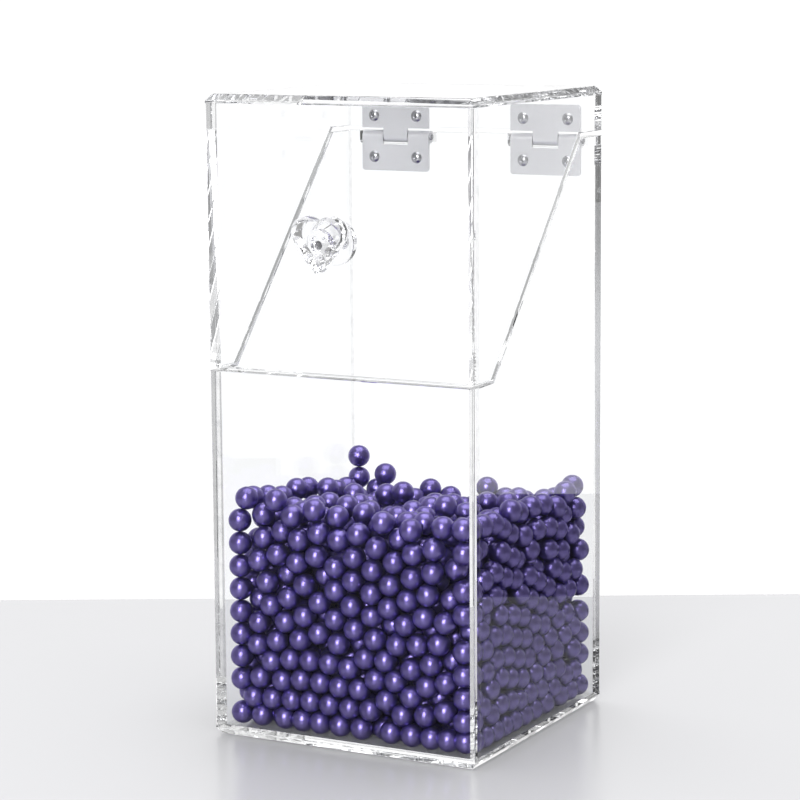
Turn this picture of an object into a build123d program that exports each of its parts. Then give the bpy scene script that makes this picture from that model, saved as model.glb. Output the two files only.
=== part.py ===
from build123d import *
import math
import os

# A tall square holder for make-up brushes, made of clear cemented sheet.
# The upper front corner is a lid. Its seam runs level across the front, climbs
# both sides at a slant and runs level across the back, where two small butt
# hinges carry it. A cut heart knob lifts it. A bed of loose pearls fills the
# lower part and holds the brush handles upright.
#
# Millimetres, +Z up. The knob faces -Y, and +X is to the right of someone who
# faces it. The origin is the centre of the underside.

os.makedirs("parts", exist_ok=True)

# ---- Driving dimensions: the box ----
outer_width = 100.0  # over the side walls, along X
outer_depth = 100.0  # over the front and back walls, along Y
overall_height = 220.0
side_wall = 3.0
face_wall = 4.0  # front wall, back wall and back strip
plate_thickness = 3.2  # floor panel and top plate
bevel_inset = 1.8  # polished bevel round the floor panel and the top plate
bevel_height = 2.2
edge_break = 0.3  # polished corner of the front and back walls

# ---- Driving dimensions: the seam between base and lid ----
lid_front_height = 93.0  # from the top down to the base's front edge
lid_back_height = 17.2  # from the top down to the base's back edge
front_level_run = 14.8  # from the front face back to where the slant begins
back_level_run = 17.6  # from the back face forward to where the slant ends
front_gap = 1.0  # seam gap over the front wall
slant_gap = 1.0  # seam gap square to the slanted edges
back_gap = 1.7  # seam gap over the back wall, room for the lid to swing

# ---- Driving dimensions: the hinges ----
hinge_inset = 8.0  # from the box's side to the nearer hinge
hinge_width = 27.0
leaf_reach = 12.4  # from the pin's axis to a leaf's far edge
leaf_thickness = 0.9
leaf_corner = 1.2
middle_knuckle_width = 9.6
pin_diameter = 2.4
pin_clearance = 0.05  # radial, in every knuckle
pin_end = 0.5  # how far a pin stands out past the knuckles
pin_end_round = 0.4
knuckle_side_gap = 0.25  # along the pin, between knuckles
knuckle_leaf_gap = 0.8  # between a knuckle and the other leaf's edge
roll_slit = 0.2  # where a knuckle's roll closes on its own leaf
pin_drop = 1.8  # from the base's back edge down to the pin's axis
notch_side_clearance = 1.0  # between a pin's end and the notch
notch_floor_clearance = 0.45  # under the barrel
notch_corner = 1.0

# ---- Driving dimensions: the rivets ----
rivet_spacing = 17.2
rivet_from_axis = 7.4
rivet_shank_diameter = 2.8
rivet_hole_clearance = 0.05  # radial
rivet_head_diameter = 4.2
rivet_head_height = 1.1
rivet_dimple_diameter = 1.6  # pressed into the head inside the box
rivet_dimple_depth = 0.6

# ---- Driving dimensions: the knob ----
knob_below_top = 47.5  # from the top down to the knob's middle
collar_diameter = 15.2
collar_thickness = 2.2
collar_round = 0.5
neck_diameter = 8.0
neck_length = 2.8
lobe_radius = 5.0
lobe_offset = 4.3  # of a lobe's middle from the knob's middle, sideways and up
tip_drop = 10.0  # from the knob's middle down to the point where the flanks meet
tip_round = 1.4
back_bevel_depth = 4.5
back_bevel_width = 2.0
girdle_depth = 4.0
front_bevel_depth = 4.5
front_bevel_width = 3.4
screw_diameter = 3.0
screw_clearance = 0.1  # radial, in the wall and the collar
screw_bore_clearance = 0.05  # radial, in the heart
screw_depth = 6.0  # how far the screw reaches into the neck and the heart
screw_tip_clearance = 0.5
screw_head_diameter = 6.0
screw_head_height = 1.7
screw_head_round = 0.5
screw_slot_width = 0.8
screw_slot_depth = 0.7

# ---- Driving dimensions: the pearl fill ----
fill_height = 77.0  # level of the fill over the floor panel, at the middle of each wall
fill_crown = 3.0  # how much higher its middle stands
fill_clearance = 0.3  # to the walls and the floor panel

# ---- Places worked out from the dimensions above ----
right = outer_width / 2
back = outer_depth / 2
front = -back
inner_right = right - side_wall
inner_back = back - face_wall
inner_front = front + face_wall
top_plate_underside = overall_height - plate_thickness
base_front_top = overall_height - lid_front_height
base_back_top = overall_height - lid_back_height
lid_front_bottom = base_front_top + front_gap
lid_back_bottom = base_back_top + back_gap
slant_start = front + front_level_run
slant_end = back - back_level_run

pin_radius = pin_diameter / 2
knuckle_bore = pin_radius + pin_clearance
barrel_radius = knuckle_bore + leaf_thickness
leaf_inner_face = inner_back - leaf_thickness
pin_y = leaf_inner_face + barrel_radius
pin_z = base_back_top - pin_drop
leaf_near_edge = barrel_radius + knuckle_leaf_gap
rivet_hole_radius = rivet_shank_diameter / 2 + rivet_hole_clearance
hinge_middle = right - hinge_inset - hinge_width / 2
hinge_middles = {"left": -hinge_middle, "right": hinge_middle}

knob_z = overall_height - knob_below_top
collar_front = front - collar_thickness
heart_back = collar_front - neck_length
girdle_back = heart_back - back_bevel_depth
girdle_front = girdle_back - girdle_depth
heart_front = girdle_front - front_bevel_depth
heart_half_width = lobe_offset + lobe_radius
screw_tip = collar_front - screw_depth
screw_hole_radius = screw_diameter / 2 + screw_clearance


def box_between(low, high):
    """A box from its lowest corner to its highest."""
    sizes = [b - a for a, b in zip(low, high)]
    middle = [(a + b) / 2 for a, b in zip(low, high)]
    return Pos(*middle) * Box(*sizes)


def rod_along_y(radius, x, z, y_low, y_high):
    """A round rod that lies along Y."""
    place = Location((x, (y_low + y_high) / 2, z), (90, 0, 0))
    return place * Cylinder(radius, y_high - y_low)


def rod_along_x(radius, x_low, x_high, y, z):
    """A round rod that lies along X."""
    place = Location(((x_low + x_high) / 2, y, z), (0, 90, 0))
    return place * Cylinder(radius, x_high - x_low)


# ---- Clear sheets ----
def bevelled_plate(z_low, bevelled_face):
    """A full-size level plate with a bevel round its top face (-1) or bottom face (0)."""
    plate = box_between((-right, front, z_low), (right, back, z_low + plate_thickness))
    face = plate.faces().sort_by(Axis.Z)[bevelled_face]
    return chamfer(face.edges(), bevel_inset, length2=bevel_height, reference=face)


def upright_wall(outer_y, inner_y, z_low, z_high):
    """A full-width front or back wall, its two outer corners broken."""
    wall = box_between(
        (-right, min(outer_y, inner_y), z_low), (right, max(outer_y, inner_y), z_high)
    )
    at_outer_face = 0 if outer_y < inner_y else -1
    outer_face = wall.faces().sort_by(Axis.Y)[at_outer_face]
    return chamfer(outer_face.edges().filter_by(Axis.Z), edge_break)


def side_sheet(side, outline):
    """A left (-1) or right (1) side sheet from its outline in Y and Z."""
    inner_x = side * inner_right
    thickness_to_outside = side * side_wall
    profile = Plane.YZ.offset(inner_x) * make_face(Polyline(*outline, close=True))
    return extrude(profile, amount=thickness_to_outside)


def slant_y(z, gap):
    """Y of the slanted seam at a height, moved square to itself towards the lid by gap."""
    run = slant_end - slant_start
    rise = base_back_top - base_front_top
    along = slant_start + (z - base_front_top) * run / rise
    return along - gap * math.hypot(run, rise) / rise


base_side_outline = [
    (inner_front, plate_thickness),
    (inner_front, base_front_top),
    (slant_start, base_front_top),
    (slant_end, base_back_top),
    (inner_back, base_back_top),
    (inner_back, plate_thickness),
]
lid_cheek_outline = [
    (inner_front, lid_front_bottom),
    (slant_y(lid_front_bottom, slant_gap), lid_front_bottom),
    (slant_y(lid_back_bottom, slant_gap), lid_back_bottom),
    (inner_back, lid_back_bottom),
    (inner_back, top_plate_underside),
    (inner_front, top_plate_underside),
]


# ---- Hinges ----
def rivet_places(middle_x, up):
    """The two rivet places (x, z) of a leaf above (1) or below (-1) the pin."""
    z = pin_z + up * rivet_from_axis
    return [(middle_x - rivet_spacing / 2, z), (middle_x + rivet_spacing / 2, z)]


def rivet_holes(places):
    """Cutters for rivet holes through the back sheet and the leaf on it."""
    return [rod_along_y(rivet_hole_radius, x, z, leaf_inner_face, back) for x, z in places]


def barrel_notch(middle_x):
    """Cutter for the opening in the back wall's top edge that takes a hinge's barrel."""
    width = hinge_width + 2 * (pin_end + notch_side_clearance)
    depth = pin_drop + barrel_radius + notch_floor_clearance
    outline = RectangleRounded(width, 2 * depth, notch_corner)
    place = Plane(origin=(middle_x, inner_back, base_back_top), x_dir=(1, 0, 0), z_dir=(0, 1, 0))
    return extrude(place * outline, amount=face_wall)


def knuckle_spans(middle_x):
    """The X spans of a hinge's knuckles: the lid's middle one, and the base's outer two."""
    half_middle = middle_knuckle_width / 2
    half_hinge = hinge_width / 2
    outer_start = half_middle + knuckle_side_gap
    lid_spans = [(middle_x - half_middle, middle_x + half_middle)]
    base_spans = [
        (middle_x - half_hinge, middle_x - outer_start),
        (middle_x + outer_start, middle_x + half_hinge),
    ]
    return lid_spans, base_spans


def hinge_leaf(middle_x, up, spans):
    """A leaf inside the back sheet, above (1) or below (-1) the pin, its knuckles rolled outwards."""
    half = hinge_width / 2
    near = pin_z + up * leaf_near_edge
    far = pin_z + up * leaf_reach
    z_low, z_high = min(near, far), max(near, far)
    leaf = box_between(
        (middle_x - half, leaf_inner_face, z_low), (middle_x + half, inner_back, z_high)
    )
    far_group = -1 if up > 0 else 0
    leaf = fillet(leaf.edges().filter_by(Axis.Y).group_by(Axis.Z)[far_group], leaf_corner)
    z_low, z_high = min(pin_z, near), max(pin_z, near)
    for x_low, x_high in spans:
        leaf += box_between((x_low, leaf_inner_face, z_low), (x_high, inner_back, z_high))
        leaf += rod_along_x(barrel_radius, x_low, x_high, pin_y, pin_z)
    for x_low, x_high in spans:
        leaf -= rod_along_x(knuckle_bore, x_low, x_high, pin_y, pin_z)
        leaf -= box_between((x_low, inner_back, z_low), (x_high, inner_back + roll_slit, z_high))
    for hole in rivet_holes(rivet_places(middle_x, up)):
        leaf -= hole
    return leaf


def hinge_pin(middle_x):
    """A pin through all three knuckles, its ends rounded."""
    half = hinge_width / 2 + pin_end
    pin = rod_along_x(pin_radius, middle_x - half, middle_x + half, pin_y, pin_z)
    return fillet(pin.edges().filter_by(GeomType.CIRCLE), pin_end_round)


def rivet_dome(x, z, y_face, outward):
    """A domed rivet head that stands on a face, out along Y by its sign."""
    base_radius = rivet_head_diameter / 2
    ball = (base_radius**2 + rivet_head_height**2) / (2 * rivet_head_height)
    ball_y = y_face + outward * (rivet_head_height - ball)
    y_past_top = y_face + outward * 2 * rivet_head_height
    slab = rod_along_y(base_radius, x, z, min(y_face, y_past_top), max(y_face, y_past_top))
    return slab & (Pos(x, ball_y, z) * Sphere(ball))


def rivets(places):
    """Rivets that clamp a leaf to the back sheet, each a separate solid."""
    solids = []
    for x, z in places:
        shank = rod_along_y(rivet_shank_diameter / 2, x, z, leaf_inner_face, back)
        rivet = shank + rivet_dome(x, z, leaf_inner_face, -1) + rivet_dome(x, z, back, 1)
        dimple_floor = leaf_inner_face - rivet_head_height + rivet_dimple_depth
        y_past_top = leaf_inner_face - 2 * rivet_head_height
        rivet -= rod_along_y(rivet_dimple_diameter / 2, x, z, y_past_top, dimple_floor)
        solids += rivet.solids()
    return Compound(solids)


# ---- Knob ----
def heart_outline(y, share):
    """The heart's outline on a plane square to Y, at a share of its full size."""
    tip_to_lobe = math.hypot(lobe_offset, lobe_offset + tip_drop)
    towards_lobe = math.atan2(lobe_offset + tip_drop, lobe_offset)
    to_tangent = math.asin(lobe_radius / tip_to_lobe)
    flank = tip_to_lobe * math.cos(to_tangent)
    flank_angle = towards_lobe - to_tangent
    tangent_x = flank * math.cos(flank_angle)
    tangent_z = flank * math.sin(flank_angle) - tip_drop
    middle = Polygon(
        (0, -tip_drop),
        (tangent_x, tangent_z),
        (lobe_offset, lobe_offset),
        (-lobe_offset, lobe_offset),
        (-tangent_x, tangent_z),
        align=None,
    )
    lobes = [Pos(side * lobe_offset, lobe_offset) * Circle(lobe_radius) for side in (-1, 1)]
    outline = middle + lobes[0] + lobes[1]
    tip = outline.vertices().sort_by(Axis.Y)[0]
    outline = scale(fillet(tip, tip_round), by=share)
    return Plane(origin=(0, y, knob_z), x_dir=(1, 0, 0), z_dir=(0, -1, 0)) * outline


def knob_heart():
    """The cut heart with its neck, bored for the screw."""
    back_share = 1 - back_bevel_width / heart_half_width
    front_share = 1 - front_bevel_width / heart_half_width
    sections = [
        heart_outline(heart_back, back_share),
        heart_outline(girdle_back, 1),
        heart_outline(girdle_front, 1),
        heart_outline(heart_front, front_share),
    ]
    heart = rod_along_y(neck_diameter / 2, 0, knob_z, heart_back, collar_front)
    for nearer, farther in zip(sections, sections[1:]):
        heart += loft([nearer, farther], ruled=True)
    bore_radius = screw_diameter / 2 + screw_bore_clearance
    bore_end = screw_tip - screw_tip_clearance
    return heart - rod_along_y(bore_radius, 0, knob_z, bore_end, collar_front)


def knob_collar():
    """The disc between the lid's front wall and the heart."""
    collar = rod_along_y(collar_diameter / 2, 0, knob_z, collar_front, front)
    rim = collar.faces().sort_by(Axis.Y)[0].edges()
    collar = fillet(rim, collar_round)
    return collar - rod_along_y(screw_hole_radius, 0, knob_z, collar_front, front)


def knob_screw():
    """The screw, its slotted head inside the lid."""
    head_top = inner_front + screw_head_height
    head = rod_along_y(screw_head_diameter / 2, 0, knob_z, inner_front, head_top)
    head = fillet(head.faces().sort_by(Axis.Y)[-1].edges(), screw_head_round)
    half_slot = screw_slot_width / 2
    head -= box_between(
        (-screw_head_diameter, head_top - screw_slot_depth, knob_z - half_slot),
        (screw_head_diameter, head_top, knob_z + half_slot),
    )
    return head + rod_along_y(screw_diameter / 2, 0, knob_z, screw_tip, inner_front)


# ---- Pearl fill ----
def pearl_bed():
    """The space that the loose pearls fill, its top slightly crowned."""
    half_x = inner_right - fill_clearance
    half_y = inner_back - fill_clearance
    z_low = plate_thickness + fill_clearance
    z_crown = plate_thickness + fill_height + fill_crown
    ball = (half_x**2 + fill_crown**2) / (2 * fill_crown)
    block = box_between((-half_x, -half_y, z_low), (half_x, half_y, z_crown))
    return block & (Pos(0, 0, z_crown - ball) * Sphere(ball))


# ---- The nodes ----
nodes = {}
nodes["base_floor_panel"] = bevelled_plate(0, 0)
nodes["base_front_wall"] = upright_wall(front, inner_front, plate_thickness, base_front_top)
nodes["lid_top_plate"] = bevelled_plate(top_plate_underside, -1)
nodes["lid_front_wall"] = upright_wall(
    front, inner_front, lid_front_bottom, top_plate_underside
) - rod_along_y(screw_hole_radius, 0, knob_z, front, inner_front)
nodes["base_left_wall"] = side_sheet(-1, base_side_outline)
nodes["base_right_wall"] = side_sheet(1, base_side_outline)
nodes["lid_left_cheek"] = side_sheet(-1, lid_cheek_outline)
nodes["lid_right_cheek"] = side_sheet(1, lid_cheek_outline)

back_wall = upright_wall(back, inner_back, plate_thickness, base_back_top)
back_strip = upright_wall(back, inner_back, lid_back_bottom, top_plate_underside)
for side, middle_x in hinge_middles.items():
    base_places = rivet_places(middle_x, -1)
    lid_places = rivet_places(middle_x, 1)
    back_wall -= barrel_notch(middle_x)
    for hole in rivet_holes(base_places):
        back_wall -= hole
    for hole in rivet_holes(lid_places):
        back_strip -= hole
    lid_spans, base_spans = knuckle_spans(middle_x)
    nodes[f"{side}_hinge_base_leaf"] = hinge_leaf(middle_x, -1, base_spans)
    nodes[f"{side}_hinge_lid_leaf"] = hinge_leaf(middle_x, 1, lid_spans)
    nodes[f"{side}_hinge_pin"] = hinge_pin(middle_x)
    nodes[f"{side}_hinge_base_rivets"] = rivets(base_places)
    nodes[f"{side}_hinge_lid_rivets"] = rivets(lid_places)
nodes["base_back_wall"] = back_wall
nodes["lid_back_strip"] = back_strip

nodes["knob_collar"] = knob_collar()
nodes["knob_heart"] = knob_heart()
nodes["knob_screw"] = knob_screw()
nodes["pearl_bed"] = pearl_bed()

for name, shape in nodes.items():
    export_step(shape, f"parts/{name}.step")
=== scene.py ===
import math

import bmesh
import bpy
import numpy as np
from mathutils import Matrix, Vector


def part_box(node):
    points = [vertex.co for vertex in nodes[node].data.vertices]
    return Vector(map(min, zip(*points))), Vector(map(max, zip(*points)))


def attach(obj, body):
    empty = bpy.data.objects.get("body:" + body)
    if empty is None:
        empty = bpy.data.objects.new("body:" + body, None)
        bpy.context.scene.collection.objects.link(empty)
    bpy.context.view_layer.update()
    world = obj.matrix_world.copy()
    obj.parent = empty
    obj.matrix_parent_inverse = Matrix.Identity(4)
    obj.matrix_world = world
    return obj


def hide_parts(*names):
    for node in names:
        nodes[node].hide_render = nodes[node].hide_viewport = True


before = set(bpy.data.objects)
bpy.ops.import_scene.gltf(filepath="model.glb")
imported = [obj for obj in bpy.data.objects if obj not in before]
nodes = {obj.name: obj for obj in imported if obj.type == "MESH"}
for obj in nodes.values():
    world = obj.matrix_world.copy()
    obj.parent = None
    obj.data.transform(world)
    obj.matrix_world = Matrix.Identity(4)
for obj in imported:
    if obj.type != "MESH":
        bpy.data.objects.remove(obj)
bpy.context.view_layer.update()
scene = bpy.context.scene

# ---- Sizes in metres ----
SKIN = 0.00002  # how far a clear sheet's faces stay back from what touches them
POLISH = 0.00025  # rounding of a clear sheet's open edges
SHORTEST_POLISHED = 0.004  # edges shorter than this stay sharp
JOINT_PROBE = 0.0001  # a face is cemented where another sheet lies this close in front of it
SAME_POINT = 1e-6
FLAT_ANGLE = math.radians(0.5)  # faces that meet at less lie in one plane
SHARP_ANGLE = math.radians(20)  # edges that turn by more are rounded

PEARL_RADIUS = 0.004
PEARL_GAP = 0.00006  # to the walls and the floor panel
PEARL_COUNT = 1460
PEARL_GRIP = 0.7  # friction between pearls
WALL_GRIP = 0.35  # friction between a pearl and the box
PEARL_SEED = 11
POUR_STEP = 2.3  # between the layers that the pearls are poured in, in radii
POUR_SHAKE = 0.4  # how far each one starts off its place, in radii
SETTLING = ((160, 0.0004, 4), (200, 0.0001, 8), (60, 0.00001, 20))  # steps, drop per step, rounds of pushing
STEPS_PER_SEARCH = 4  # steps between two searches for pearls close to each other
PUSH_SHARE = 1.5  # above 1, so that pearls with many neighbours part in fewer rounds
FINE_BALL = (24, 14)  # segments and rings of the pearls that show
PLAIN_BALL = (12, 8)  # and of those deep inside
SEEN_DEPTH = 0.014  # pearls nearer than this to a wall or the floor panel are the ones that show
SEEN_DEPTH_TOP = 1.6 * SEEN_DEPTH  # and nearer than this to the top
PEARL_PIECES = 8

# ---- Looks ----
CLEAR_BOUNCES = 48  # a clear sheet carries light along its whole length, from face to face
DIFFUSE_BOUNCES = 4
CLEAR_IOR = 1.49
CLEAR_SHEEN = (0.25, 0.25, 0.25, 1.0)  # tint of what a polished face mirrors head-on
CLEAR_SHADOW = (0.97, 0.97, 0.98, 1.0)  # tint of the lamps' light behind clear plastic
ACRYLIC_TINT = (0.985, 0.99, 0.995, 1.0)
CRYSTAL_TINT = (0.99, 0.99, 0.995, 1.0)
CEMENT_TINT = (0.75, 0.76, 0.80, 1.0)
CEMENT_MILK = 0.12  # the milkiest patch's share of white
PEARL_SHADES = ((0.135, 0.100, 0.33, 1.0), (0.180, 0.140, 0.42, 1.0))
PEARL_RIM = (0.25, 0.20, 0.45, 1.0)
TABLE_GREY = (0.72, 0.72, 0.74, 1.0)
CARD_BLACK = (0.02, 0.02, 0.02, 1.0)
# Colour, lowest and highest roughness, streaks per metre across the rolling direction.
LEAF_STEEL = ((0.82, 0.82, 0.84, 1.0), 0.30, 0.50, 9000.0)
RIVET_STEEL = ((0.50, 0.50, 0.52, 1.0), 0.16, 0.30, 5000.0)
SCREW_STEEL = ((0.70, 0.70, 0.72, 1.0), 0.08, 0.20, 5000.0)

# ---- Studio ----
# Place, aim, width, height and watts of the lamps.
KEY_LAMP = ((0.22, -1.12, 0.58), (0, 0, 0.10), 0.45, 0.80, 8)
TOP_LAMP = ((0.1, 0.1, 1.5), (0, 0, 0), 1.4, 1.4, 13)

# The room's brightness by direction: 0 is behind the camera, 0.5 to its sides, 1 ahead of it.
ROOM = (
    (0.0, 0.34), (0.17, 0.30),
    (0.20, 0.05), (0.26, 0.05),
    (0.30, 0.32), (0.44, 0.42),
    (0.48, 0.06), (0.53, 0.06),
    (0.58, 0.40), (0.68, 0.45),
    (0.74, 0.60), (0.82, 1.0),
)
CEILING = 0.38
CEILING_FROM, CEILING_FULL = 0.5, 0.8  # the height of a direction where the ceiling begins and is full
ROOM_STRENGTH = 1.10

TABLE_REACH = 1.6  # how far the table runs to the sides and to the front
TABLE_PAST_MIDDLE = 0.185  # from the origin to its far edge, which lies across the photograph's view

# The camera, fitted to the box's edges in the photograph. Angles in degrees.
CAMERA_PLACE = Vector((0.440, -0.824, 0.261))
CAMERA_YAW = 28.31
CAMERA_PITCH = 9.00
CAMERA_ROLL = -0.44
SENSOR_WIDTH = 36.0  # mm
FOCAL_PIXELS = 2730.0  # focal length in pixels of the frame
FRAME_PIXELS = 800.0

# The dark card that the box's right side mirrors.
FLAG_DIRECTION = Vector((0.474, 0.880, 0))  # from the origin to the card
FLAG_DISTANCE = 0.23
FLAG_WIDTH = 0.12
FLAG_SHIFT = 0.55  # of its half width, away from the box's back
FLAG_LOW = -0.10
FLAG_HIGH = 0.044

SHEETS = {
    "base": ["base_floor_panel", "base_front_wall", "base_back_wall", "base_left_wall", "base_right_wall"],
    "lid": ["lid_top_plate", "lid_front_wall", "lid_back_strip", "lid_left_cheek", "lid_right_cheek"],
}


# ---- Node helpers ----
def new_material(name):
    """A material with an empty node tree, and the tree."""
    material = bpy.data.materials.new(name)
    material.use_nodes = True
    material.node_tree.nodes.clear()
    return material, material.node_tree


def node(tree, kind, **values):
    """Adds a node. A value goes to the node's property of that name, or else to its input socket."""
    made = tree.nodes.new(kind)
    for key, value in values.items():
        if hasattr(made, key):
            setattr(made, key, value)
        else:
            made.inputs[key.replace("_", " ")].default_value = value
    return made


def wire(tree, source, output, target, target_input):
    """Links an output socket to an input socket."""
    tree.links.new(source.outputs[output], target.inputs[target_input])


def finish_with(tree, shader):
    """Sends a shader to the material's surface."""
    out = node(tree, "ShaderNodeOutputMaterial")
    tree.links.new(shader.outputs[0], out.inputs["Surface"])


def put_on(material, *objects):
    """Gives objects one material."""
    for ob in objects:
        if not ob.material_slots:
            ob.data.materials.append(material)
        for place in ob.material_slots:
            place.material = material


# ---- Materials ----
def clear_material(name, tint, waviness, wave_scale):
    """Polished clear plastic. Lamps shine through it onto what it holds."""
    material, tree = new_material(name)
    coords = node(tree, "ShaderNodeTexCoord")
    waves = node(tree, "ShaderNodeTexNoise", Scale=wave_scale, Detail=2.0)
    wire(tree, coords, "Object", waves, "Vector")
    bump = node(tree, "ShaderNodeBump", Strength=waviness, Distance=0.001)
    wire(tree, waves, "Fac", bump, "Height")
    plastic = node(tree, "ShaderNodeBsdfPrincipled", Roughness=0.0, IOR=CLEAR_IOR)
    plastic.inputs["Base Color"].default_value = tint
    plastic.inputs["Transmission Weight"].default_value = 1.0
    plastic.inputs["Specular Tint"].default_value = CLEAR_SHEEN
    wire(tree, bump, "Normal", plastic, "Normal")
    see_through = node(tree, "ShaderNodeBsdfTransparent", Color=CLEAR_SHADOW)
    rays = node(tree, "ShaderNodeLightPath")
    mix = node(tree, "ShaderNodeMixShader")
    wire(tree, rays, "Is Shadow Ray", mix, 0)
    tree.links.new(plastic.outputs[0], mix.inputs[1])
    tree.links.new(see_through.outputs[0], mix.inputs[2])
    finish_with(tree, mix)
    return material


def joint_material():
    """The cement between two clear sheets: see-through, a little milky in patches."""
    material, tree = new_material("cement_line")
    coords = node(tree, "ShaderNodeTexCoord")
    patches = node(tree, "ShaderNodeTexNoise", Scale=260.0, Detail=3.0)
    wire(tree, coords, "Object", patches, "Vector")
    milky = node(tree, "ShaderNodeMapRange")
    milky.inputs["From Min"].default_value = 0.45
    milky.inputs["From Max"].default_value = 0.75
    milky.inputs["To Max"].default_value = CEMENT_MILK
    wire(tree, patches, "Fac", milky, "Value")
    cement = node(tree, "ShaderNodeBsdfPrincipled", Roughness=0.5)
    cement.inputs["Base Color"].default_value = CEMENT_TINT
    clear = node(tree, "ShaderNodeBsdfTransparent", Color=(0.97, 0.97, 0.97, 1.0))
    mix = node(tree, "ShaderNodeMixShader")
    wire(tree, milky, "Result", mix, 0)
    tree.links.new(clear.outputs[0], mix.inputs[1])
    tree.links.new(cement.outputs[0], mix.inputs[2])
    finish_with(tree, mix)
    return material


def steel_material(name, colour, smooth, rough, streaks):
    """Steel with fine rolling streaks along X, so many per metre across it."""
    material, tree = new_material(name)
    coords = node(tree, "ShaderNodeTexCoord")
    stretch = node(tree, "ShaderNodeMapping")
    stretch.inputs["Scale"].default_value = (streaks * 0.06, streaks, streaks)
    grain = node(tree, "ShaderNodeTexNoise", Scale=1.0, Detail=4.0, Roughness=0.65)
    wire(tree, coords, "Object", stretch, "Vector")
    wire(tree, stretch, "Vector", grain, "Vector")
    roughness = node(tree, "ShaderNodeMapRange")
    roughness.inputs["To Min"].default_value = smooth
    roughness.inputs["To Max"].default_value = rough
    wire(tree, grain, "Fac", roughness, "Value")
    bump = node(tree, "ShaderNodeBump", Strength=0.15, Distance=0.0001)
    wire(tree, grain, "Fac", bump, "Height")
    metal = node(tree, "ShaderNodeBsdfPrincipled", Metallic=1.0)
    metal.inputs["Base Color"].default_value = colour
    wire(tree, roughness, "Result", metal, "Roughness")
    wire(tree, bump, "Normal", metal, "Normal")
    finish_with(tree, metal)
    return material


def pearl_material():
    """Satin purple pearl: a metallic body with dark rims, under a thin clear coat."""
    material, tree = new_material("purple_pearl")
    coords = node(tree, "ShaderNodeTexCoord")
    mottling = node(tree, "ShaderNodeTexNoise", Scale=150.0, Detail=2.0)
    wire(tree, coords, "Object", mottling, "Vector")
    shades = node(tree, "ShaderNodeValToRGB")
    for element, place, shade in zip(shades.color_ramp.elements, (0.3, 0.7), PEARL_SHADES):
        element.position = place
        element.color = shade
    wire(tree, mottling, "Fac", shades, "Fac")
    skin = node(tree, "ShaderNodeTexNoise", Scale=2500.0, Detail=2.0)
    wire(tree, coords, "Object", skin, "Vector")
    bump = node(tree, "ShaderNodeBump", Strength=0.06, Distance=0.00005)
    wire(tree, skin, "Fac", bump, "Height")
    pearl = node(tree, "ShaderNodeBsdfPrincipled", Metallic=0.9, Roughness=0.30)
    pearl.inputs["Specular Tint"].default_value = PEARL_RIM
    pearl.inputs["Coat Weight"].default_value = 0.7
    pearl.inputs["Coat Roughness"].default_value = 0.12
    wire(tree, shades, "Color", pearl, "Base Color")
    wire(tree, bump, "Normal", pearl, "Normal")
    finish_with(tree, pearl)
    return material


def table_material():
    """A pale table top with a soft sheen."""
    material, tree = new_material("pale_table")
    coords = node(tree, "ShaderNodeTexCoord")
    unevenness = node(tree, "ShaderNodeTexNoise", Scale=9.0, Detail=3.0)
    wire(tree, coords, "Object", unevenness, "Vector")
    roughness = node(tree, "ShaderNodeMapRange")
    roughness.inputs["To Min"].default_value = 0.20
    roughness.inputs["To Max"].default_value = 0.28
    wire(tree, unevenness, "Fac", roughness, "Value")
    top = node(tree, "ShaderNodeBsdfPrincipled")
    top.inputs["Base Color"].default_value = TABLE_GREY
    wire(tree, roughness, "Result", top, "Roughness")
    finish_with(tree, top)
    return material


def card_material():
    """Black felt."""
    material, tree = new_material("black_card")
    coords = node(tree, "ShaderNodeTexCoord")
    fibres = node(tree, "ShaderNodeTexNoise", Scale=400.0)
    wire(tree, coords, "Object", fibres, "Vector")
    felt = node(tree, "ShaderNodeBsdfPrincipled")
    felt.inputs["Base Color"].default_value = CARD_BLACK
    wire(tree, fibres, "Fac", felt, "Roughness")
    finish_with(tree, felt)
    return material


# ---- Clear sheets ----
def cut_at(bm, axis, place):
    """Cuts a mesh's faces along the plane at a place on an axis, and keeps both sides."""
    point, normal = Vector((0, 0, 0)), Vector((0, 0, 0))
    point[axis], normal[axis] = place, 1
    bmesh.ops.bisect_plane(bm, geom=[*bm.verts, *bm.edges, *bm.faces], plane_co=point, plane_no=normal)


def inside(point, box):
    """Whether a point lies in a box, given as its lowest and highest corners."""
    return all(box[0][i] - SKIN < point[i] < box[1][i] + SKIN for i in range(3))


def polished_edges(bm):
    """The long open edges of a sheet, where two of its uncemented faces meet at an angle."""
    found = []
    for edge in bm.edges:
        open_edge = len(edge.link_faces) == 2 and not any(f.material_index for f in edge.link_faces)
        if open_edge and edge.calc_length() > SHORTEST_POLISHED and edge.calc_face_angle() > SHARP_ANGLE:
            found.append(edge)
    return found


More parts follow.
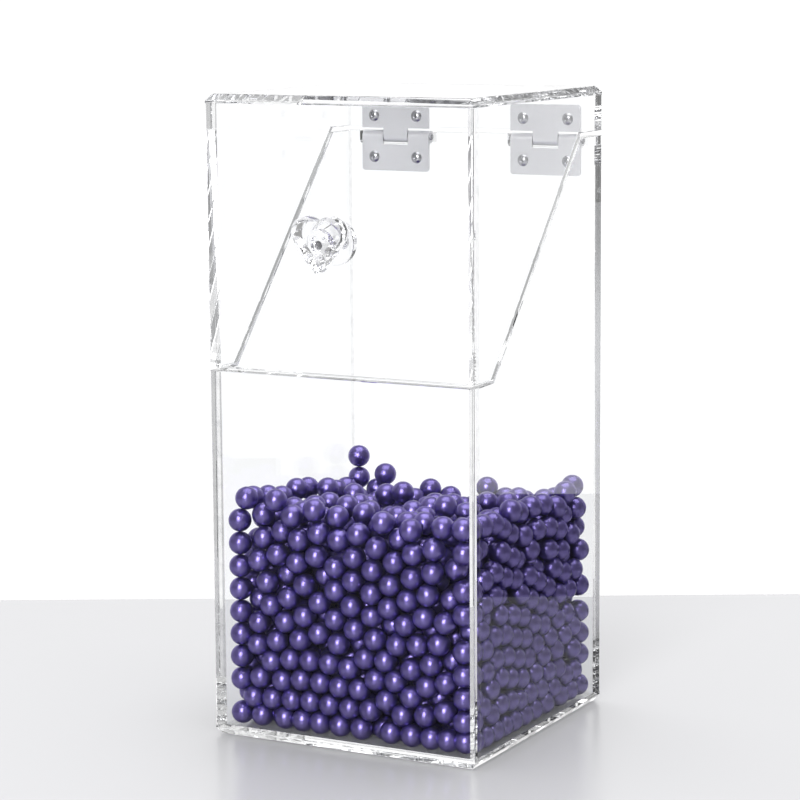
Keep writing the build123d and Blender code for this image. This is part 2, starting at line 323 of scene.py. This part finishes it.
def clear_sheet(name, body, plastic, cement):
    """The finished form of a clear sheet: open edges rounded, cemented faces see-through."""
    low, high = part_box(name)
    mates = [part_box(other) for other in SHEETS[body] if other != name]
    bm = bmesh.new()
    bm.from_mesh(nodes[name].data)
    bmesh.ops.remove_doubles(bm, verts=bm.verts, dist=SAME_POINT)
    bmesh.ops.dissolve_limit(bm, angle_limit=FLAT_ANGLE, verts=bm.verts, edges=bm.edges)
    for mate in mates:
        for axis in range(3):
            for corner in mate:
                if low[axis] + SKIN < corner[axis] < high[axis] - SKIN:
                    cut_at(bm, axis, corner[axis])
    for face in bm.faces:
        probe = face.calc_center_median() + face.normal * JOINT_PROBE
        face.material_index = int(any(inside(probe, mate) for mate in mates))
    bmesh.ops.dissolve_limit(
        bm, angle_limit=FLAT_ANGLE, verts=bm.verts, edges=bm.edges, delimit={"MATERIAL"}
    )
    bmesh.ops.bevel(bm, geom=polished_edges(bm), offset=POLISH, segments=2, profile=0.5, affect="EDGES")
    middle = (low + high) / 2
    for vert in bm.verts:
        for i in range(3):
            vert.co[i] = middle[i] + (vert.co[i] - middle[i]) * (1 - 2 * SKIN / (high[i] - low[i]))
    mesh = bpy.data.meshes.new(f"clear_{name}")
    bm.to_mesh(mesh)
    bm.free()
    mesh.materials.append(plastic)
    mesh.materials.append(cement)
    sheet = bpy.data.objects.new(f"clear_{name}", mesh)
    scene.collection.objects.link(sheet)
    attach(sheet, body)
    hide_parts(name)
    return sheet


def crystal_piece(name, crystal):
    """The finished form of a part of the knob, a hair shorter than its CAD piece, so that light passes from
    one part to the next through air."""
    low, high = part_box(name)
    mesh = nodes[name].data.copy()
    mesh.name = f"clear_{name}"
    middle = (low.y + high.y) / 2
    for vert in mesh.vertices:
        vert.co.y = middle + (vert.co.y - middle) * (1 - 2 * SKIN / (high.y - low.y))
    piece = bpy.data.objects.new(f"clear_{name}", mesh)
    scene.collection.objects.link(piece)
    put_on(crystal, piece)
    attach(piece, "lid")
    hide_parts(name)


# ---- Pearls ----
def close_pairs(points, reach):
    """Index pairs of points nearer to each other than reach."""
    square = (points**2).sum(1)
    apart = square[:, None] + square[None, :] - 2 * points @ points.T
    return np.nonzero(np.triu(apart < reach**2, 1))


def held_back(points, start, low, high):
    """Keeps pearls in the box. Where one is pressed on a wall, the wall holds it back."""
    pressed = np.maximum(np.maximum(low - points, points - high), 0)
    np.clip(points, low, high, out=points)
    for axis in range(3):
        slip = points - start
        slip[:, axis] = 0
        length = np.maximum(np.sqrt((slip**2).sum(1)), 1e-9)
        points -= slip * np.minimum(WALL_GRIP * pressed[:, axis] / length, 1)[:, None]


def push_apart(points, start, pairs, low, high, rounds):
    """Moves points in place until pearls overlap neither each other nor the box, with friction."""
    first, second = pairs
    count = len(points)
    for _ in range(rounds):
        between = points[second] - points[first]
        apart = np.maximum(np.sqrt((between**2).sum(1)), 1e-9)
        outward = between / apart[:, None]
        overlap = np.maximum(2 * PEARL_RADIUS - apart, 0)
        slip = points[second] - start[second] - points[first] + start[first]
        slip -= outward * (slip * outward).sum(1)[:, None]
        length = np.maximum(np.sqrt((slip**2).sum(1)), 1e-9)
        grip = np.minimum(PEARL_GRIP * overlap / length, 1)
        push = 0.5 * (outward * overlap[:, None] - slip * grip[:, None])
        touching = (overlap > 0).astype(float)
        contacts = np.bincount(first, touching, count) + np.bincount(second, touching, count)
        share = PUSH_SHARE / np.maximum(contacts, PUSH_SHARE)
        for axis in range(3):
            moved = np.bincount(second, push[:, axis], count) - np.bincount(first, push[:, axis], count)
            points[:, axis] += moved * share
        held_back(points, start, low, high)


def settle(points, low, high, steps, drop, rounds):
    """Lets pearls sink by small drops, and pushes them apart after each."""
    for step in range(steps):
        if step % STEPS_PER_SEARCH == 0:
            pairs = close_pairs(points, 2 * PEARL_RADIUS + 2 * STEPS_PER_SEARCH * drop)
        start = points.copy()
        points[:, 2] -= drop
        push_apart(points, start, pairs, low, high, rounds)


def poured_pearls():
    """Centres of the pearls: poured into the box, shaken down and left to lie."""
    rng = np.random.default_rng(PEARL_SEED)
    inset = PEARL_RADIUS + PEARL_GAP
    low = [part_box("base_left_wall")[1].x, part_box("base_front_wall")[1].y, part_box("base_floor_panel")[1].z]
    high = [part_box("base_right_wall")[0].x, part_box("base_back_wall")[0].y, 1.0]
    low, high = np.array(low) + inset, np.array(high) - inset
    across = int((high[0] - low[0]) / (2 * PEARL_RADIUS))
    order = np.arange(PEARL_COUNT)
    grid = np.stack([order % across, order // across % across, order // across**2], 1) / (across - 1)
    points = low + grid * (high - low) * [1, 1, 0]
    points[:, 2] += order // across**2 * POUR_STEP * PEARL_RADIUS
    points += rng.uniform(-POUR_SHAKE, POUR_SHAKE, points.shape) * PEARL_RADIUS
    for steps, drop, rounds in SETTLING:
        settle(points, low, high, steps, drop, rounds)
    return points


def ball(segments, rings):
    """Vertices and faces of a unit ball."""
    turns = np.arange(segments) * 2 * math.pi / segments
    tilts = np.arange(1, rings) * math.pi / rings
    ring = [(math.sin(t) * math.cos(a), math.sin(t) * math.sin(a), math.cos(t)) for t in tilts for a in turns]
    verts = np.array([(0, 0, 1), *ring, (0, 0, -1)])
    last = len(verts) - 1
    faces = []
    for i in range(segments):
        j = (i + 1) % segments
        faces.append((0, 1 + i, 1 + j))
        for k in range(rings - 2):
            above, below = 1 + k * segments, 1 + (k + 1) * segments
            faces.append((above + i, below + i, below + j, above + j))
        faces.append((last, last - segments + j, last - segments + i))
    return verts, faces


def random_turns(rng, count):
    """Random rotation matrices."""
    q = rng.normal(size=(count, 4))
    w, x, y, z = (q / np.linalg.norm(q, axis=1)[:, None]).T
    rows = [
        [1 - 2 * (y * y + z * z), 2 * (x * y - z * w), 2 * (x * z + y * w)],
        [2 * (x * y + z * w), 1 - 2 * (x * x + z * z), 2 * (y * z - x * w)],
        [2 * (x * z - y * w), 2 * (y * z + x * w), 1 - 2 * (x * x + y * y)],
    ]
    return np.moveaxis(np.array(rows), 2, 0)


def pearl_piece(name, centres, fine, turns, material):
    """Some of the pearls as one object, each a ball of its own."""
    verts, faces, start = [], [], 0
    shapes = {True: ball(*FINE_BALL), False: ball(*PLAIN_BALL)}
    for centre, is_fine, turn in zip(centres, fine, turns):
        shape, shape_faces = shapes[bool(is_fine)]
        verts.append(centre + PEARL_RADIUS * shape @ turn.T)
        faces += [tuple(start + v for v in face) for face in shape_faces]
        start += len(shape)
    mesh = bpy.data.meshes.new(name)
    mesh.from_pydata(np.concatenate(verts).tolist(), [], faces)
    mesh.polygons.foreach_set("use_smooth", [True] * len(faces))
    mesh.materials.append(material)
    pearls = bpy.data.objects.new(name, mesh)
    scene.collection.objects.link(pearls)
    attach(pearls, "base")
    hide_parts("pearl_bed")


def pearls(material):
    """All the pearls, in level layers."""
    centres = poured_pearls()
    centres = centres[np.argsort(centres[:, 2], kind="stable")]
    low, high = (np.array(corner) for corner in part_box("pearl_bed"))
    depth = np.minimum(centres - low, high - centres)[:, [0, 1]].min(1)
    height = centres[:, 2]
    seen = (depth < SEEN_DEPTH) | (height < low[2] + SEEN_DEPTH) | (height > high[2] - SEEN_DEPTH_TOP)
    turns = random_turns(np.random.default_rng(PEARL_SEED + 1), len(centres))
    for k, part in enumerate(np.array_split(np.arange(len(centres)), PEARL_PIECES)):
        pearl_piece(f"pearl_layer_{k + 1}", centres[part], seen[part], turns[part], material)


# ---- Camera, light and table ----
def level_directions():
    """The level directions to the right of the photograph's view and ahead of it."""
    yaw = math.radians(CAMERA_YAW)
    return Vector((math.cos(yaw), math.sin(yaw), 0)), Vector((-math.sin(yaw), math.cos(yaw), 0))


def place_camera():
    """The photograph's viewpoint."""
    pitch, roll = math.radians(CAMERA_PITCH), math.radians(CAMERA_ROLL)
    level_right, level_ahead = level_directions()
    straight_up = Vector((0, 0, 1))
    ahead = level_ahead * math.cos(pitch) - straight_up * math.sin(pitch)
    up = straight_up * math.cos(pitch) + level_ahead * math.sin(pitch)
    rolled_right = level_right * math.cos(roll) + up * math.sin(roll)
    rolled_up = up * math.cos(roll) - level_right * math.sin(roll)
    data = bpy.data.cameras.new("camera")
    data.sensor_width = SENSOR_WIDTH
    data.lens = FOCAL_PIXELS / FRAME_PIXELS * SENSOR_WIDTH
    camera = bpy.data.objects.new("camera", data)
    axes = Matrix((rolled_right, rolled_up, -ahead)).transposed().to_4x4()
    camera.matrix_world = Matrix.Translation(CAMERA_PLACE) @ axes
    scene.collection.objects.link(camera)
    scene.camera = camera


def soft_box(name, place, aim, width, height, watts):
    """A rectangular studio lamp."""
    data = bpy.data.lights.new(name, "AREA")
    data.shape = "RECTANGLE"
    data.size = width
    data.size_y = height
    data.energy = watts
    lamp = bpy.data.objects.new(name, data)
    lamp.location = place
    lamp.rotation_euler = (Vector(aim) - Vector(place)).to_track_quat("-Z", "Y").to_euler()
    scene.collection.objects.link(lamp)


def studio_surroundings():
    """A bright backdrop behind the object and a dimmer room with dark corners all around it."""
    world = bpy.data.worlds.new("studio")
    scene.world = world
    world.use_nodes = True
    tree = world.node_tree
    tree.nodes.clear()
    coords = node(tree, "ShaderNodeTexCoord")
    ahead = node(tree, "ShaderNodeVectorMath", operation="DOT_PRODUCT")
    ahead.inputs[1].default_value = level_directions()[1]
    wire(tree, coords, "Generated", ahead, 0)
    half = node(tree, "ShaderNodeMath", operation="MULTIPLY_ADD")
    half.inputs[1].default_value = 0.5
    half.inputs[2].default_value = 0.5
    wire(tree, ahead, "Value", half, 0)
    round_about = node(tree, "ShaderNodeValToRGB")
    ramp = round_about.color_ramp
    for place, grey in ROOM[1:-1]:
        ramp.elements.new(place)
    for element, (place, grey) in zip(ramp.elements, ROOM):
        element.position = place
        element.color = (grey, grey, grey, 1.0)
    wire(tree, half, "Value", round_about, "Fac")
    split = node(tree, "ShaderNodeSeparateXYZ")
    wire(tree, coords, "Generated", split, 0)
    ceiling = node(tree, "ShaderNodeMapRange", interpolation_type="SMOOTHSTEP")
    ceiling.inputs["From Min"].default_value = CEILING_FROM
    ceiling.inputs["From Max"].default_value = CEILING_FULL
    wire(tree, split, "Z", ceiling, "Value")
    lit = node(tree, "ShaderNodeMix", data_type="RGBA")
    wire(tree, ceiling, "Result", lit, 0)
    tree.links.new(round_about.outputs["Color"], lit.inputs[6])
    lit.inputs[7].default_value = (CEILING, CEILING, CEILING, 1.0)
    background = node(tree, "ShaderNodeBackground", Strength=ROOM_STRENGTH)
    tree.links.new(lit.outputs[2], background.inputs["Color"])
    out = node(tree, "ShaderNodeOutputWorld")
    wire(tree, background, 0, out, "Surface")


def flag():
    """A low dark card to the right, which only shows in the box's polished faces."""
    half_width = FLAG_WIDTH / 2 * Vector((FLAG_DIRECTION.y, -FLAG_DIRECTION.x, 0))
    foot = FLAG_DISTANCE * FLAG_DIRECTION + FLAG_SHIFT * half_width
    bm = bmesh.new()
    corners = [
        (foot + side * half_width).xy.to_3d() + Vector((0, 0, z))
        for side, z in ((-1, FLAG_LOW), (1, FLAG_LOW), (1, FLAG_HIGH), (-1, FLAG_HIGH))
    ]
    bm.faces.new([bm.verts.new(corner) for corner in corners])
    mesh = bpy.data.meshes.new("flag")
    bm.to_mesh(mesh)
    bm.free()
    mesh.materials.append(card_material())
    card = bpy.data.objects.new("flag", mesh)
    scene.collection.objects.link(card)
    card.visible_camera = card.visible_diffuse = card.visible_shadow = False


def table():
    """The table top, level with the object's underside. Polished faces mirror the room in its place."""
    bm = bmesh.new()
    across, ahead = level_directions()
    near, far = -TABLE_REACH * ahead, TABLE_PAST_MIDDLE * ahead
    side = TABLE_REACH * across
    bm.faces.new([bm.verts.new(corner) for corner in (near - side, near + side, far + side, far - side)])
    mesh = bpy.data.meshes.new("table")
    bm.to_mesh(mesh)
    bm.free()
    mesh.materials.append(table_material())
    top = bpy.data.objects.new("table", mesh)
    scene.collection.objects.link(top)
    top.visible_glossy = False


# ---- Building the scene ----
scene.view_settings.view_transform = "Standard"
scene.cycles.max_bounces = CLEAR_BOUNCES
scene.cycles.transmission_bounces = CLEAR_BOUNCES
scene.cycles.transparent_max_bounces = CLEAR_BOUNCES
scene.cycles.glossy_bounces = CLEAR_BOUNCES
scene.cycles.diffuse_bounces = DIFFUSE_BOUNCES
scene.cycles.caustics_refractive = False
scene.cycles.caustics_reflective = False

place_camera()
studio_surroundings()
soft_box("key", *KEY_LAMP)
soft_box("top", *TOP_LAMP)
table()
flag()

acrylic = clear_material("clear_acrylic", ACRYLIC_TINT, waviness=0.02, wave_scale=12.0)
crystal = clear_material("cut_crystal", CRYSTAL_TINT, waviness=0.03, wave_scale=60.0)
cement = joint_material()
for body, names in SHEETS.items():
    for name in names:
        clear_sheet(name, body, acrylic, cement)
for name in ("knob_collar", "knob_heart"):
    crystal_piece(name, crystal)

leaf_steel = steel_material("leaf_steel", *LEAF_STEEL)
rivet_steel = steel_material("rivet_steel", *RIVET_STEEL)
screw_steel = steel_material("screw_steel", *SCREW_STEEL)
for side in ("left", "right"):
    put_on(leaf_steel, nodes[f"{side}_hinge_base_leaf"], nodes[f"{side}_hinge_lid_leaf"])
    put_on(rivet_steel, *(nodes[f"{side}_hinge_{part}"] for part in ("pin", "base_rivets", "lid_rivets")))
put_on(screw_steel, nodes["knob_screw"])

pearls(pearl_material())
